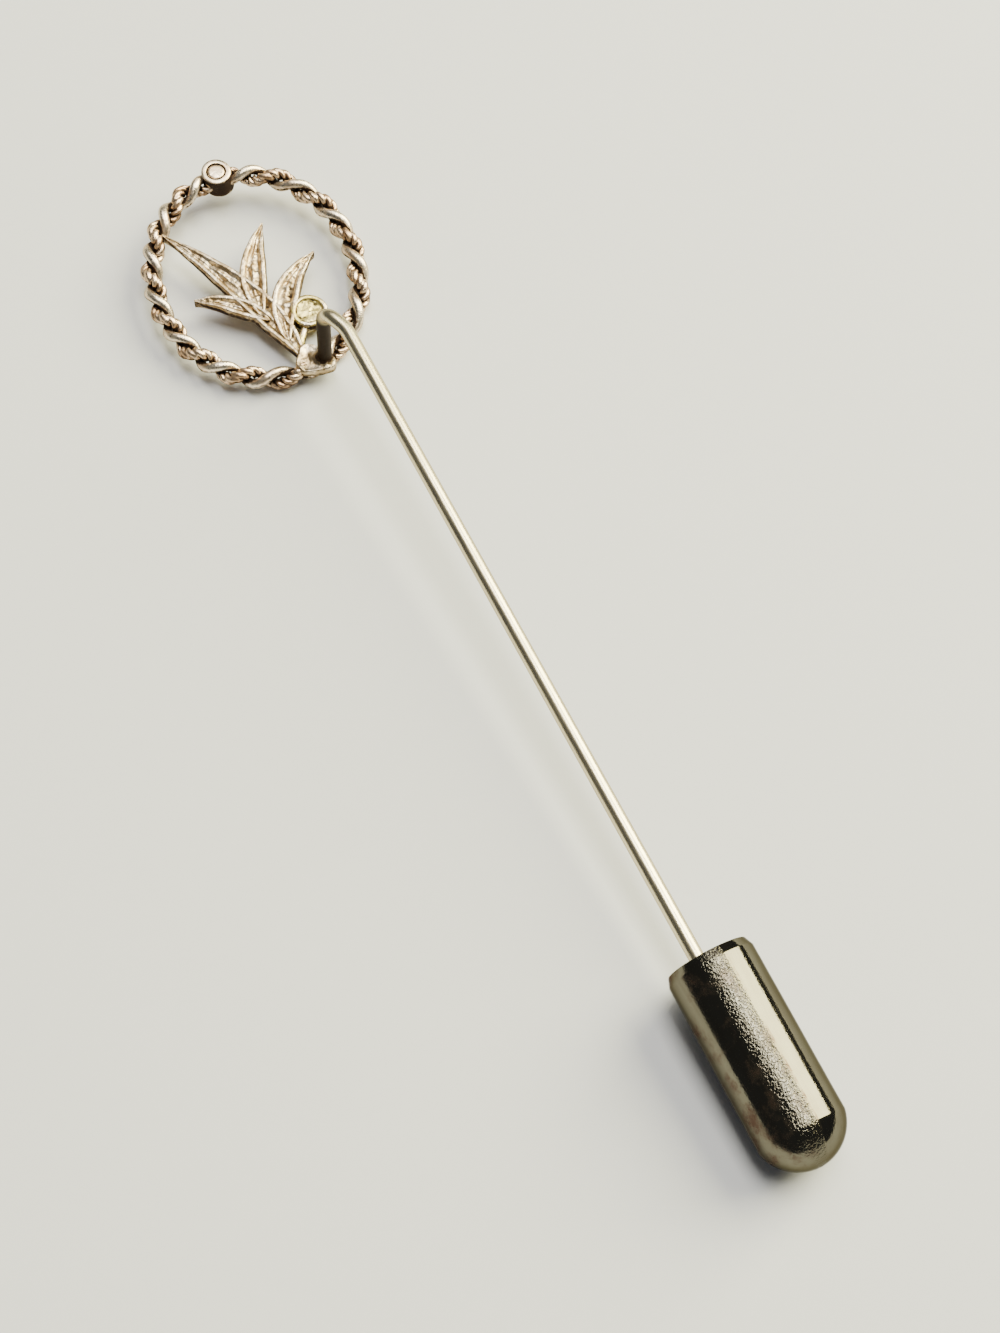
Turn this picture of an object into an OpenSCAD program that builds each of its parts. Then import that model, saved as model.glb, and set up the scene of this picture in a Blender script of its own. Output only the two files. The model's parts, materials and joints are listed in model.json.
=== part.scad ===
/* [Rope ring] */
// Length of the oval ring along the pin, measured on the rope's centreline
ring_length = 15; // [13:0.1:18]
// Width of the oval ring across the pin, measured on the rope's centreline
ring_width = 12.5; // [10:0.1:15]
// Angle that the oval's long axis is turned from the pin's line
ring_lean = -8; // [-12:0.5:12]
// Thickness of the twisted rope across both strands
rope_d = 1.5; // [1.2:0.02:1.8]
// Turns that the two strands make round the whole ring
rope_turns = 12.7; // [8:0.1:16]

/* [Stone setting] */
// Outer diameter of the round bezel at the top of the ring
bezel_d = 1.92; // [1.6:0.02:2.4]
// Depth of the bezel from its back rim to its front rim
bezel_depth = 1.45; // [1.3:0.05:2]
// Thickness of the bezel's wall
bezel_wall = 0.34; // [0.2:0.02:0.4]

/* [Leaf sprig] */
// Width of the long leaf that crosses the ring
long_leaf_width = 1.9; // [1.4:0.1:2.4]
// Width of the two side leaves towards the berry
side_leaf_width = 1.7; // [1.2:0.1:2.2]
// Width of the small leaf on the other side
small_leaf_width = 1.3; // [1:0.1:1.8]
// Diameter of the berry beside the post
berry_d = 2.1; // [1.2:0.1:2.4]
// Thickness of the hollow-backed leaves
leaf_depth = 1.1; // [0.8:0.05:1.4]

/* [Pin wire] */
// Diameter of the pin wire
wire_d = 0.86; // [0.7:0.02:1.1]
// Height of the shaft's centreline over the middle plane of the ring
shaft_height = 6; // [4:0.1:7]
// Radius of the bend from the post to the shaft
bend_r = 1.1; // [0.8:0.1:1.6]
// Angle by which the bend points to one side before the wire comes into line
swing = 21; // [10:1:30]
// Radius of the gentle curve that brings the wire into line
swing_r = 2.5; // [2:0.5:4]
// Length of the sharp point, hidden in the clutch
point_length = 9; // [6:0.5:10]

/* [Clutch] */
// Outer diameter of the bullet-shaped clutch
clutch_d = 4.9; // [4.5:0.1:6]
// Length of the clutch from its mouth to the tip of its dome
clutch_length = 11.7; // [11.5:0.1:15]
// Height of the rounded dome
dome_height = 1.95; // [1.5:0.05:2.4]
// Length of the bevel round the mouth
bevel_length = 0.5; // [0.3:0.05:0.8]
// Thickness of the clutch's shell
shell_wall = 0.35; // [0.25:0.05:0.5]
// Distance from the post to the clutch's mouth
mouth_x = 43.4; // [35:0.1:50]
// Sideways play of the clutch on the wire
clutch_shift = 0.45; // [0:0.05:0.5]
// Angle that the clutch sits askew on the wire
clutch_skew = 0.4; // [0:0.1:1.5]

/* [Hidden] */

// The head's own frame has the ring's middle plane at z = 0, the back of the jewel at +z and the
// shaft along x at y = 0, over the post's foot at x = 0.
ring_a = ring_length / 2;
ring_b = ring_width / 2;
ring_centre = [-7.59, -1.81];
rope_r = rope_d / 2;
strand_r = rope_r * 0.53;
strand_c = rope_r - strand_r;
rope_sides = 12;
rope_steps = ceil(rope_turns * rope_sides);
rope_phase = -36;

// The lay is a little longer on one side of the ring. Each mark pairs a share of the ring's length with
// the share of the turns made there.
lay_marks = [[0, 0], [0.467, 0.5], [0.651, 0.657], [1, 1]];

// The bezel stands on the rope's centreline, at this angle from the post's side.
bezel_turn = 181.5;
bezel_cover = 4.5;
bezel_at = ring_point(bezel_turn);
bezel_back = 0.78;
bezel_front = bezel_back - bezel_depth;
cavity_r = bezel_d / 2 - bezel_wall;
cavity_top = -0.05;
back_recess = 0.1;
groove_depth = 0.14;
groove_w = 0.1;
back_disc_r = cavity_r - groove_w;

stone_gap = 0.02;
table_facets = 8;
stone_r = cavity_r - stone_gap;
girdle_z = bezel_front + 0.2;
girdle_h = 0.08;
table_z = bezel_front - 0.14;
table_r = stone_r * 0.56;
culet_z = cavity_top - 0.1;
culet_r = 0.06;
facet_edge = 0.02;

wire_r = wire_d / 2;
foot_y = -0.66;
foot_z = -0.1;
post_top = shaft_height - bend_r;
swing_drift = swing_r * (1 - cos(swing));
bend_drift = bend_r * sin(swing);
runout = max(0.2, (-foot_y - bend_drift - swing_drift) / sin(swing));
bend_end = [bend_r * cos(swing), foot_y + bend_drift];
runout_end = bend_end + runout * [cos(swing), sin(swing)];
shaft_x = runout_end[0] + swing_r * sin(swing);
point_lead = 0.25;
shaft_end = mouth_x - point_lead;
point_r = 0.1;
lap = 0.05;
bend_ease = 0.005;

pad_outline = [
    [-1.6, -1.55], [-0.35, -2.5], [0.35, -2.4], [0.78, -1.3],
    [0.9, -0.35], [0.45, -0.08], [-0.45, -0.35], [-1.25, -0.95],
];
pad_z = 0.25;
pad_top = 0.76;

clutch_r = clutch_d / 2;
bevel_inset = 0.2;
dome_edge_r = 1.25;
dome_sink = 0.2;
mouth_hole_r = 1.1;
grip_recess = 0.9;
grip_length = 7.5;
grip_gap = 0.02;
bore_play = 0.04;
bore_overrun = 1;

// A leaf's row holds its base, the point that its midline bends towards, its tip and its width.
LEAF_BASE = 0;
LEAF_BEND = 1;
LEAF_TIP = 2;
LEAF_WIDTH = 3;
LEAVES = [
    [[-0.85, -1.75], [-5.75, -2.05], [-12.5, -5.95], long_leaf_width],
    [[-4.5, -2.75], [-7.9, -2.45], [-10.65, 0.05], side_leaf_width],
    [[-2.2, -2.05], [-5.95, -1.45], [-7.4, 2.05], side_leaf_width],
    [[-4, -2.45], [-6.15, -3.75], [-7.25, -6.05], small_leaf_width],
];
leaf_steps = 12;
leaf_end_half = 0.14;
berry_at = [-3.55, -0.05];
berry_z = 0.1;
stalk_from = [-1.55, -1.75];
stalk_r = 0.3;

// At rest two lobes of the rope's near edge and the clutch's wall touch the table, so the shaft dips
// towards the clutch. The lobes stop a little short of the rope's full radius.
lobe_short = 0.065;
rest_run = mouth_x + clutch_length - dome_height;
rest_tilt = atan((shaft_height - clutch_r + rope_r - lobe_short) / rest_run);
rest_roll = -1.23;
rest_shift = [-19.706, 1.82, 0.696];

$fn = 48;

function turned(v, a) = [v[0] * cos(a) - v[1] * sin(a), v[0] * sin(a) + v[1] * cos(a)];

// Oval centreline of the rope and its outward normal, at the angle t from the post's side
function ring_point(t) = ring_centre + turned([ring_a * cos(t), ring_b * sin(t)], ring_lean);
function ring_normal(t) =
    let (n = turned([ring_b * cos(t), ring_a * sin(t)], ring_lean)) n / norm(n);

// Radius of the twin-strand section at the angle a from the line through both strands
function twin_radius(a) =
    strand_c * abs(cos(a)) + sqrt(strand_r * strand_r - pow(strand_c * sin(a), 2));

// Midline of a leaf, a parabola through its base and tip
function leaf_point(l, t) =
    (1 - t) * (1 - t) * l[LEAF_BASE] + 2 * t * (1 - t) * l[LEAF_BEND] + t * t * l[LEAF_TIP];
function leaf_side(l, t) =
    let (d = (1 - t) * (l[LEAF_BEND] - l[LEAF_BASE]) + t * (l[LEAF_TIP] - l[LEAF_BEND]))
    [-d[1], d[0]] / norm(d);
// Half width: a quick swell from the stalk and a long taper to the tip
function leaf_half(l, t) =
    leaf_end_half + (l[LEAF_WIDTH] / 2 - leaf_end_half) * sin(180 * pow(t, 0.8));

// Cross-section of a leaf: a hollow back between two rims, and a front that rises to a midrib
function leaf_section(w) =
    let (h = leaf_depth / 2, rim = min(0.2, w * 0.3), deep = min(0.32, w * 0.45))
    [
        [-w, 0.1], [-w + rim * 0.4, h], [-w + rim, h], [-w * 0.45, h - deep],
        [0, h - deep * 0.55], [w * 0.45, h - deep], [w - rim, h], [w - rim * 0.4, h],
        [w, 0.1], [w * 0.55, -h * 0.6], [0, -h], [-w * 0.55, -h * 0.6],
    ];

// Faces of a tube of closed sections with flat ends
function tube_faces(rows, cols) = concat(
    [for (i = [0:rows - 2], j = [0:cols - 1])
        [i * cols + j, (i + 1) * cols + (j + 1) % cols, (i + 1) * cols + j]],
    [for (i = [0:rows - 2], j = [0:cols - 1])
        [i * cols + j, i * cols + (j + 1) % cols, (i + 1) * cols + (j + 1) % cols]],
    [[for (j = [cols - 1:-1:0]) j]],
    [[for (j = [0:cols - 1]) (rows - 1) * cols + j]]
);

module rope() {
    from = bezel_turn + bezel_cover;
    sweep = 360 - 2 * bezel_cover;
    t = [for (i = [0:rope_steps]) from + sweep * i / rope_steps];
    step = [for (i = [0:rope_steps]) norm(ring_point(t[min(i + 1, rope_steps)]) - ring_point(t[i]))];
    along = [for (i = 0, s = 0; i <= rope_steps; s = s + step[i], i = i + 1) s];
    points = [
        for (i = [0:rope_steps])
            let (c = ring_point(t[i]), n = ring_normal(t[i]))
            let (share = along[i] / along[rope_steps])
            let (twist = rope_phase + 360 * rope_turns * lookup(share, lay_marks))
            for (j = [0:rope_sides - 1])
                let (a = 360 * j / rope_sides, r = twin_radius(a), b = a + twist)
                [c[0] + r * cos(b) * n[0], c[1] + r * cos(b) * n[1], r * sin(b)]
    ];
    polyhedron(points, tube_faces(rope_steps + 1, rope_sides), convexity = 10);
}

module leaf(l) {
    points = [
        for (i = [0:leaf_steps])
            let (t = i / leaf_steps, c = leaf_point(l, t), n = leaf_side(l, t))
            for (q = leaf_section(leaf_half(l, t)))
                [c[0] + q[0] * n[0], c[1] + q[0] * n[1], q[1]]
    ];
    polyhedron(points, tube_faces(leaf_steps + 1, 12), convexity = 6);
}

module sprig() {
    for (l = LEAVES) leaf(l);
    translate([berry_at[0], berry_at[1], berry_z]) sphere(d = berry_d);
    // Stalk of the berry, from the foot of the long leaf
    stalk = berry_at - stalk_from;
    translate([stalk_from[0], stalk_from[1], 0])
        rotate([0, 90, atan2(stalk[1], stalk[0])])
            cylinder(r = stalk_r, h = norm(stalk));
}

module bezel() {
    translate([bezel_at[0], bezel_at[1], bezel_front]) cylinder(d = bezel_d, h = bezel_depth);
}

// The stone's seat in front, and behind it a recessed disc inside a groove
module bezel_hollows() {
    translate([bezel_at[0], bezel_at[1], 0]) {
        translate([0, 0, bezel_front - 1]) cylinder(r = cavity_r, h = 1 + cavity_top - bezel_front);
        translate([0, 0, bezel_back - back_recess]) cylinder(r = cavity_r, h = 1);
        difference() {
            translate([0, 0, bezel_back - back_recess - groove_depth]) cylinder(r = cavity_r, h = 1);
            translate([0, 0, bezel_back - 1]) cylinder(r = back_disc_r, h = 3);
        }
    }
}

module solder_pad() {
    translate([0, 0, pad_z]) linear_extrude(pad_top - pad_z) polygon(pad_outline);
}

// A straight stretch of wire reaches a little way into the bends at its ends.
module straight_wire(length) {
    translate([0, 0, -lap]) cylinder(r = wire_r, h = length + 2 * lap);
}

module bent_wire(r, from, angle) {
    rotate_extrude(angle = angle, start = from) translate([r, 0]) circle(r = wire_r - bend_ease);
}

module pin_wire() {
    translate([0, foot_y, foot_z]) straight_wire(post_top - foot_z);
    translate([0, foot_y, post_top]) rotate([0, 0, swing]) translate([bend_r, 0, 0]) rotate([90, 0, 0])
        bent_wire(bend_r, 90, 90);
    translate([bend_end[0], bend_end[1], shaft_height]) rotate([0, 90, swing]) straight_wire(runout);
    translate([shaft_x, -swing_r, shaft_height]) bent_wire(swing_r, 90, swing);
    translate([shaft_x, 0, shaft_height]) rotate([0, 90, 0]) rotate_extrude() polygon([
        [0, -lap], [wire_r, -lap], [wire_r, shaft_end - shaft_x],
        [point_r, shaft_end - shaft_x + point_length], [0, shaft_end - shaft_x + point_length],
    ]);
}

// Clutch outline from the axis to the wall, with its mouth on the x axis
module clutch_outline(inset) {
    r = clutch_r - inset;
    foot = clutch_length - dome_height;
    polygon([[0, inset], [r - bevel_inset, inset], [r, inset + bevel_length], [r, foot], [0, foot]]);
    translate([0, foot]) dome_outline(r, dome_height - inset, dome_edge_r - inset);
}

// Dome of two arcs: a tight one that leaves the wall at a crease and a wide one over the tip
module dome_outline(r, h, tight) {
    edge_at = r - sqrt(tight * tight - dome_sink * dome_sink);
    rise = h + dome_sink;
    wide = (edge_at * edge_at + rise * rise - tight * tight) / (2 * (rise - tight));
    intersection() {
        union() {
            translate([edge_at, -dome_sink]) circle(r = tight);
            translate([0, h - wide]) circle(r = wide);
        }
        square([r, h]);
    }
}

module at_clutch() {
    translate([mouth_x, clutch_shift, shaft_height])
        rotate([0, 90, -clutch_skew])
            children();
}

module at_rest() {
    translate(rest_shift) rotate([rest_roll, rest_tilt, 0]) children();
}

module head_and_pin() {
    color("rosybrown") at_rest() {
        difference() {
            union() {
                rope();
                sprig();
                bezel();
                solder_pad();
                pin_wire();
            }
            bezel_hollows();
        }
    }
}

module stone() {
    color("whitesmoke") at_rest() translate([bezel_at[0], bezel_at[1], 0]) hull() {
        translate([0, 0, table_z]) cylinder(r = table_r, h = facet_edge, $fn = table_facets);
        translate([0, 0, girdle_z])
            rotate([0, 0, 90 / table_facets])
                cylinder(r = stone_r, h = girdle_h, $fn = 2 * table_facets);
        translate([0, 0, culet_z]) cylinder(r = culet_r, h = facet_edge, $fn = table_facets);
    }
}

module clutch_shell() {
    color("dimgray") at_rest() at_clutch() difference() {
        rotate_extrude() clutch_outline(0);
        rotate_extrude() clutch_outline(shell_wall);
        translate([0, 0, -1]) cylinder(r = mouth_hole_r, h = 2 + shell_wall);
    }
}

module clutch_grip() {
    color("darkgray") at_rest() difference() {
        at_clutch()
            translate([0, 0, grip_recess])
                cylinder(r = clutch_r - shell_wall - grip_gap, h = grip_length);
        translate([mouth_x, 0, shaft_height])
            rotate([0, 90, 0])
                cylinder(r = wire_r + bore_play, h = grip_recess + grip_length + bore_overrun);
    }
}

head_and_pin();
stone();
clutch_shell();
clutch_grip();
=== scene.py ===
"""Stick pin with an oval rope ring, lying face down with its clutch on the wire.

Each piece is a surface worked out from the sizes below, in metres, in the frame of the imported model.
The head's own frame has the ring's middle plane at z = 0, the jewel's back at +z and the pin's shaft along
x at y = 0, and place_head turns and lifts it to where the pin rests.
"""

import itertools
import json
import math

import bpy
import numpy as np
from bpy.props import FloatProperty, FloatVectorProperty, IntProperty, PointerProperty
from mathutils import Matrix, Vector


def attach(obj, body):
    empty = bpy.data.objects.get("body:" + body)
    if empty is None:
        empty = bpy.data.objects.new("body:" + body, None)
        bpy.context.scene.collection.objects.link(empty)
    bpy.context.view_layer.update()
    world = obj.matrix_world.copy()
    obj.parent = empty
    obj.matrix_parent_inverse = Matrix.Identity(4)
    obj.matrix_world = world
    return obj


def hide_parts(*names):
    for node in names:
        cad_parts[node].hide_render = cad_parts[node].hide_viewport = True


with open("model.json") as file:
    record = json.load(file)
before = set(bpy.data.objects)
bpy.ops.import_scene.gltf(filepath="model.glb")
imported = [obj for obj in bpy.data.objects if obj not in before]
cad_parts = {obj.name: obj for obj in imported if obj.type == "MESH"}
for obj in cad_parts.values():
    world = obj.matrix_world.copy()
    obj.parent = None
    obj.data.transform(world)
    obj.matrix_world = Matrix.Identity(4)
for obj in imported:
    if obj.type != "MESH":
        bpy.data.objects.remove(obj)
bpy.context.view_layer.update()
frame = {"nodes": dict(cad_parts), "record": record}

bl_info = {
    "name": "Rope ring stick pin",
    "version": (1, 0, 0),
    "blender": (4, 5, 0),
    "location": "3D View > Sidebar > Stick Pin",
    "description": "Builds a stick pin with a rope ring, a leaf sprig, a small stone and a bullet clutch",
    "category": "Add Mesh",
}

MM = 0.001
SHAFT = next(m for m in frame["record"]["mounts"] if m["name"] == "pin_shaft")
WIRE_R = SHAFT["dims"]["r_mm"] * MM
REST_TILT = math.atan2(-SHAFT["axis"][2], SHAFT["axis"][0])


def millimetres(name, description, default):
    """A length that the sidebar shows with its unit, given here in millimetres."""
    return FloatProperty(
        name=name, description=description, default=default * MM, precision=5,
        unit="LENGTH", subtype="DISTANCE",
    )


def degrees(name, description, default):
    """An angle that the sidebar shows in degrees."""
    return FloatProperty(name=name, description=description, default=math.radians(default), subtype="ANGLE")


def colour(name, description, default):
    """A plain colour, in linear light."""
    return FloatVectorProperty(
        name=name, description=description, default=default, size=3, min=0, max=1, subtype="COLOR",
    )


class RopeSettings(bpy.types.PropertyGroup):
    """The oval ring of two strands"""

    length: millimetres("Ring length", "Long axis of the oval centreline", 15)
    width: millimetres("Ring width", "Short axis of the oval centreline", 12.5)
    lean: degrees("Ring lean", "Turn of the oval's long axis from the pin's line", -8)
    centre_x: millimetres("Ring centre X", "Place of the oval's centre along the pin", -7.59)
    centre_y: millimetres("Ring centre Y", "Place of the oval's centre across the pin", -1.81)
    offset: millimetres("Strand offset", "Distance of each strand's centre from the rope's centre", 0.35)
    strand_r: millimetres("Smooth strand radius", "Radius of the round strand", 0.31)
    cord_r: millimetres("Corded strand radius", "Radius over the plies of the corded strand", 0.40)
    turns: FloatProperty(name="Turns", description="Turns of the strands round the ring", default=12.7, min=1)
    phase: degrees("Phase", "Turn of the strands where they leave the bezel", -36)
    ply_turns: IntProperty(name="Ply turns", description="Turns of the plies within their strand", default=44)


class SettingSettings(bpy.types.PropertyGroup):
    """The round setting at the top of the ring"""

    turn: degrees("Bezel place", "Angle round the oval from the post's side", 181.5)
    radius: millimetres("Bezel radius", "Outer radius of the bezel", 0.96)
    wall: millimetres("Bezel wall", "Thickness of the bezel's wall", 0.35)
    back: millimetres("Back rim", "Height of the back rim over the ring's middle plane", 0.78)
    front: millimetres("Front rim", "Height of the front rim, below the ring's middle plane", -0.67)
    seat: millimetres("Cavity floor", "Height of the floor behind the stone", -0.05)
    disc_r: millimetres("Back disc", "Radius of the recessed disc in the back", 0.53)
    recess: millimetres("Back recess", "Depth of the disc below the back rim", 0.05)
    lean: millimetres("Back lean", "How far the back rim leans to the ring's right", 0.14)


class SprigSettings(bpy.types.PropertyGroup):
    """The leaf sprig that crosses the ring"""

    long_width: millimetres("Long leaf", "Width of the long leaf", 1.9)
    side_width: millimetres("Side leaves", "Width of the two side leaves", 1.7)
    small_width: millimetres("Small leaf", "Width of the small leaf", 1.3)
    depth: millimetres("Thickness", "Thickness of the hollow-backed leaves", 1.1)
    end_half: millimetres("Leaf ends", "Half width where a leaf begins and ends", 0.14)
    berry_r: millimetres("Berry", "Radius of the berry", 1.15)
    berry_depth: millimetres("Berry front", "How far the berry's round front bulges", 1.04)
    stalk_r: millimetres("Stalk", "Radius of the berry's stalk", 0.3)


class WireSettings(bpy.types.PropertyGroup):
    """The post and the pin wire, one length of bent wire"""

    foot_y: millimetres("Foot", "Place of the post across the pin", -0.66)
    foot_z: millimetres("Foot height", "Lower end of the post, from the ring's middle plane", -0.1)
    height: millimetres("Shaft height", "Height of the shaft over the ring's middle plane", 6)
    bend_r: millimetres("Bend", "Radius of the bend from post to shaft", 1.1)
    swing: degrees("Swing", "Angle by which the bend points to one side", 21)
    swing_r: millimetres("Swing radius", "Radius of the curve that brings the wire into line", 2.5)
    point_length: millimetres("Point", "Length of the tapered point", 9)


class ClutchSettings(bpy.types.PropertyGroup):
    """The bullet-shaped clutch on the point"""

    radius: millimetres("Radius", "Outer radius of the clutch", 2.45)
    length: millimetres("Length", "From the mouth to the tip of the dome", 11.7)
    dome: millimetres("Dome", "Height of the rounded dome", 1.95)
    dome_edge: millimetres("Dome edge", "Radius of the tight arc between wall and dome", 1.25)
    dome_sink: millimetres("Dome crease", "Depth of that arc's centre below the dome's foot", 0.2)
    bevel: millimetres("Bevel", "Length of the bevel round the mouth", 0.5)
    inset: millimetres("Bevel inset", "How far the bevel runs in from the wall", 0.2)
    wall: millimetres("Wall", "Thickness of the shell", 0.35)
    hole_r: millimetres("Mouth", "Radius of the hole in the mouth", 1.1)
    mouth_x: millimetres("Place", "Distance of the mouth from the post", 43.4)
    shift: millimetres("Play", "Sideways play on the wire", 0.45)
    skew: degrees("Skew", "Angle that the clutch sits askew", 0.4)


class FinishSettings(bpy.types.PropertyGroup):
    """Colours of the worn metals"""

    silver: colour("Silvery wear", "Where the smooth strand is rubbed bright", (0.82, 0.71, 0.56))
    peach: colour("Peach wear", "Where the rosy plate is rubbed", (0.82, 0.62, 0.43))
    rose: colour("Rosy plate", "The coppery plate of the cords", (0.50, 0.32, 0.19))
    cream: colour("Cream wear", "Where the cast rims are rubbed", (0.80, 0.68, 0.51))
    tan: colour("Tan plate", "The plate of the cast backs", (0.46, 0.34, 0.20))
    straw: colour("Straw wear", "The yellowish rough back of the berry", (0.74, 0.62, 0.24))
    # The recess colour is the tarnish in the grooves, and also the painted shade on upright walls.
    recess: colour("Tarnish And Shade", "Dark tarnish in the grooves", (0.030, 0.017, 0.011))
    wire: colour("Wire", "Pale gold of the drawn wire", (0.76, 0.67, 0.44))
    scale: colour("Fire scale", "Dark scale that soldering left on the post", (0.018, 0.010, 0.005))
    gunmetal: colour("Gunmetal", "Dark nickel of the clutch", (0.140, 0.132, 0.100))
    dulled: colour("Dulled gunmetal", "Duller wear on the clutch", (0.104, 0.092, 0.068))
    stain: colour("Stain", "Brown stains on the clutch", (0.080, 0.050, 0.037))
    steel: colour("Steel", "Plain steel inside the clutch", (0.42, 0.41, 0.39))
    stone: colour("Stone", "Tint of the clear stone", (0.95, 0.96, 0.98))
    floor: colour("Floor", "Pale paper under the pin", (0.66, 0.67, 0.70))


class StageSettings(bpy.types.PropertyGroup):
    """Camera, lights and floor"""

    azimuth: degrees("View azimuth", "Side that the camera looks from, 0 from -Y and 90 from +X", 62.67)
    elevation: degrees("View elevation", "Height of the camera over the horizon", 64)
    distance: millimetres("View distance", "From the camera to its target on the floor", 113.2)
    target_x: millimetres("Target X", "Point of the floor in the picture's middle", 3.02)
    target_y: millimetres("Target Y", "Point of the floor in the picture's middle", 1.35)
    lens: FloatProperty(name="Lens", description="Focal length on a 36 mm long side", default=54.0)
    floor_size: millimetres("Floor size", "Side of the square floor", 3000)


class StickPinSettings(bpy.types.PropertyGroup):
    """All sizes and colours of the stick pin"""

    rope: PointerProperty(type=RopeSettings)
    setting: PointerProperty(type=SettingSettings)
    sprig: PointerProperty(type=SprigSettings)
    wire: PointerProperty(type=WireSettings)
    clutch: PointerProperty(type=ClutchSettings)
    finish: PointerProperty(type=FinishSettings)
    stage: PointerProperty(type=StageSettings)


# Where the head rests: a small roll about x, the shaft's tilt about y, and a shift.
REST_ROLL = math.radians(-1.23)
REST_SHIFT = np.array([-19.706, 1.82, 0.696]) * MM

# The rope's lay starts and ends at this angle from the bezel. It is a little longer on one side of the ring,
# so each mark pairs a share of the ring's length with the share of the turns made there.
LAY_START = math.radians(4.5)
LAY_MARKS = ((0, 0), (0.467, 0.5), (0.651, 0.657), (1, 1))

# A leaf's row names its width, and holds its base, the point that its midline bends towards, and its tip,
# in millimetres.
LEAVES = (
    ("long_width", (-0.85, -1.75), (-5.75, -2.05), (-12.5, -5.95)),
    ("side_width", (-4.5, -2.75), (-7.9, -2.45), (-10.65, 0.05)),
    ("side_width", (-2.2, -2.05), (-5.95, -1.45), (-7.4, 2.05)),
    ("small_width", (-4, -2.45), (-6.15, -3.75), (-7.25, -6.05)),
)
BERRY_AT = np.array([-3.55, -0.05]) * MM
STALK_FROM = np.array([-1.55, -1.75]) * MM

# Outline of the solder pad round the foot of the post, in millimetres.
PAD_OUTLINE = (
    (-1.6, -1.55), (-0.35, -2.5), (0.35, -2.4), (0.78, -1.3),
    (0.9, -0.35), (0.45, -0.08), (-0.45, -0.35), (-1.25, -0.95),
)
PAD_LOW, PAD_TOP = 0.25 * MM, 0.76 * MM

HASH_STEPS = np.array([374761393, 668265263, 2147483629], dtype=np.int64)
HASH_SEED, HASH_MIX = 1013904223, 1274126177


# Shapes

def ease(value, low=0.0, high=1.0):
    """The curve 3t^2 - 2t^3 of the value's place t between low and high, held at 0 and 1 outside them."""
    t = np.clip((value - low) / (high - low), 0, 1)
    return t * t * (3 - 2 * t)


def unit(vectors):
    """The vectors, each divided by its length."""
    return vectors / np.linalg.norm(vectors, axis=-1, keepdims=True)


def lattice_noise(points, cell, seed):
    """Smooth noise from -1 to 1 at each point.

    Each corner of a grid of cubes holds a value hashed from its whole-number place, and a point blends the
    eight corners round it with the ease curve along each axis.
    """
    place = points / cell
    corner = np.floor(place).astype(np.int64)
    inside = ease(place - corner)
    total = np.zeros(points.shape[:-1])
    for offset in itertools.product((0, 1), repeat=3):
        key = (corner + np.array(offset)) @ HASH_STEPS + seed * HASH_SEED
        key = (key ^ (key >> 13)) * HASH_MIX
        value = ((key ^ (key >> 16)) & 0xFFFF) / 0x7FFF - 1
        total += value * np.prod(np.where(offset, inside, 1 - inside), axis=-1)
    return total


def turn_flat(points, angle):
    """Flat points turned about the origin by the angle."""
    c, s = math.cos(angle), math.sin(angle)
    return points @ np.array([[c, s], [-s, c]])


def place_head(points):
    """Head's frame to the model's: a roll about x, the shaft's tilt about y and the shift to the table."""
    c, s = math.cos(REST_ROLL), math.sin(REST_ROLL)
    roll = np.array([[1, 0, 0], [0, c, -s], [0, s, c]])
    c, s = math.cos(REST_TILT), math.sin(REST_TILT)
    tilt = np.array([[c, 0, s], [0, 1, 0], [-s, 0, c]])
    return points @ (tilt @ roll).T + REST_SHIFT


def oval(rope, t):
    """Centreline of the rope and its outward normal at the angles t.

    The point is centre + lean * (a cos t, b sin t), and the normal is lean * (b cos t, a sin t) at length 1,
    where a and b are half the oval's length and width.
    """
    a, b = rope.length / 2, rope.width / 2
    points = turn_flat(np.stack([a * np.cos(t), b * np.sin(t)], -1), rope.lean)
    normals = unit(turn_flat(np.stack([b * np.cos(t), a * np.sin(t)], -1), rope.lean))
    points = points + np.array([rope.centre_x, rope.centre_y])
    flat = np.zeros(len(t))
    return np.column_stack([points, flat]), np.column_stack([normals, flat])


def carried(path, along, side, radius, angles):
    """A profile carried along a path: path + radius * (cos u * side + sin u * (along x side))."""
    side = unit(side - along * np.sum(side * along, axis=-1, keepdims=True))
    up = np.cross(along, side)
    u = np.broadcast_to(angles, radius.shape)[..., None]
    return path[:, None] + radius[..., None] * (np.cos(u) * side[:, None] + np.sin(u) * up[:, None])


def turned_profile(radii, heights, angles):
    """A profile turned about z: (r cos u, r sin u, h) for each profile point and angle u."""
    r = np.asarray(radii)[:, None]
    h = np.broadcast_to(np.asarray(heights)[:, None], (len(radii), len(angles)))
    return np.stack([r * np.cos(angles), r * np.sin(angles), h], -1)


def round_angles(count):
    """Evenly spread angles round a full turn."""
    return np.arange(count) * (2 * math.pi / count)


def outward(angles):
    """Level directions at the angles: (cos u, sin u, 0)."""
    return np.stack([np.cos(angles), np.sin(angles), np.zeros(len(angles))], -1)


def smooth_line(points, count):
    """A profile through the given points, by their straight lines cut at even steps of length."""
    points = np.asarray(points, float)
    run = np.concatenate([[0], np.cumsum(np.linalg.norm(np.diff(points, axis=0), axis=1))])
    even = np.linspace(0, run[-1], count)
    return np.column_stack([np.interp(even, run, points[:, k]) for k in range(points.shape[1])])


def arc(centre, radius, start, end, count):
    """Points of a flat arc round its centre, from one angle to another, in degrees."""
    a = np.radians(np.linspace(start, end, count))
    return np.column_stack([centre[0] + radius * np.cos(a), centre[1] + radius * np.sin(a)])


# Meshes

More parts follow.
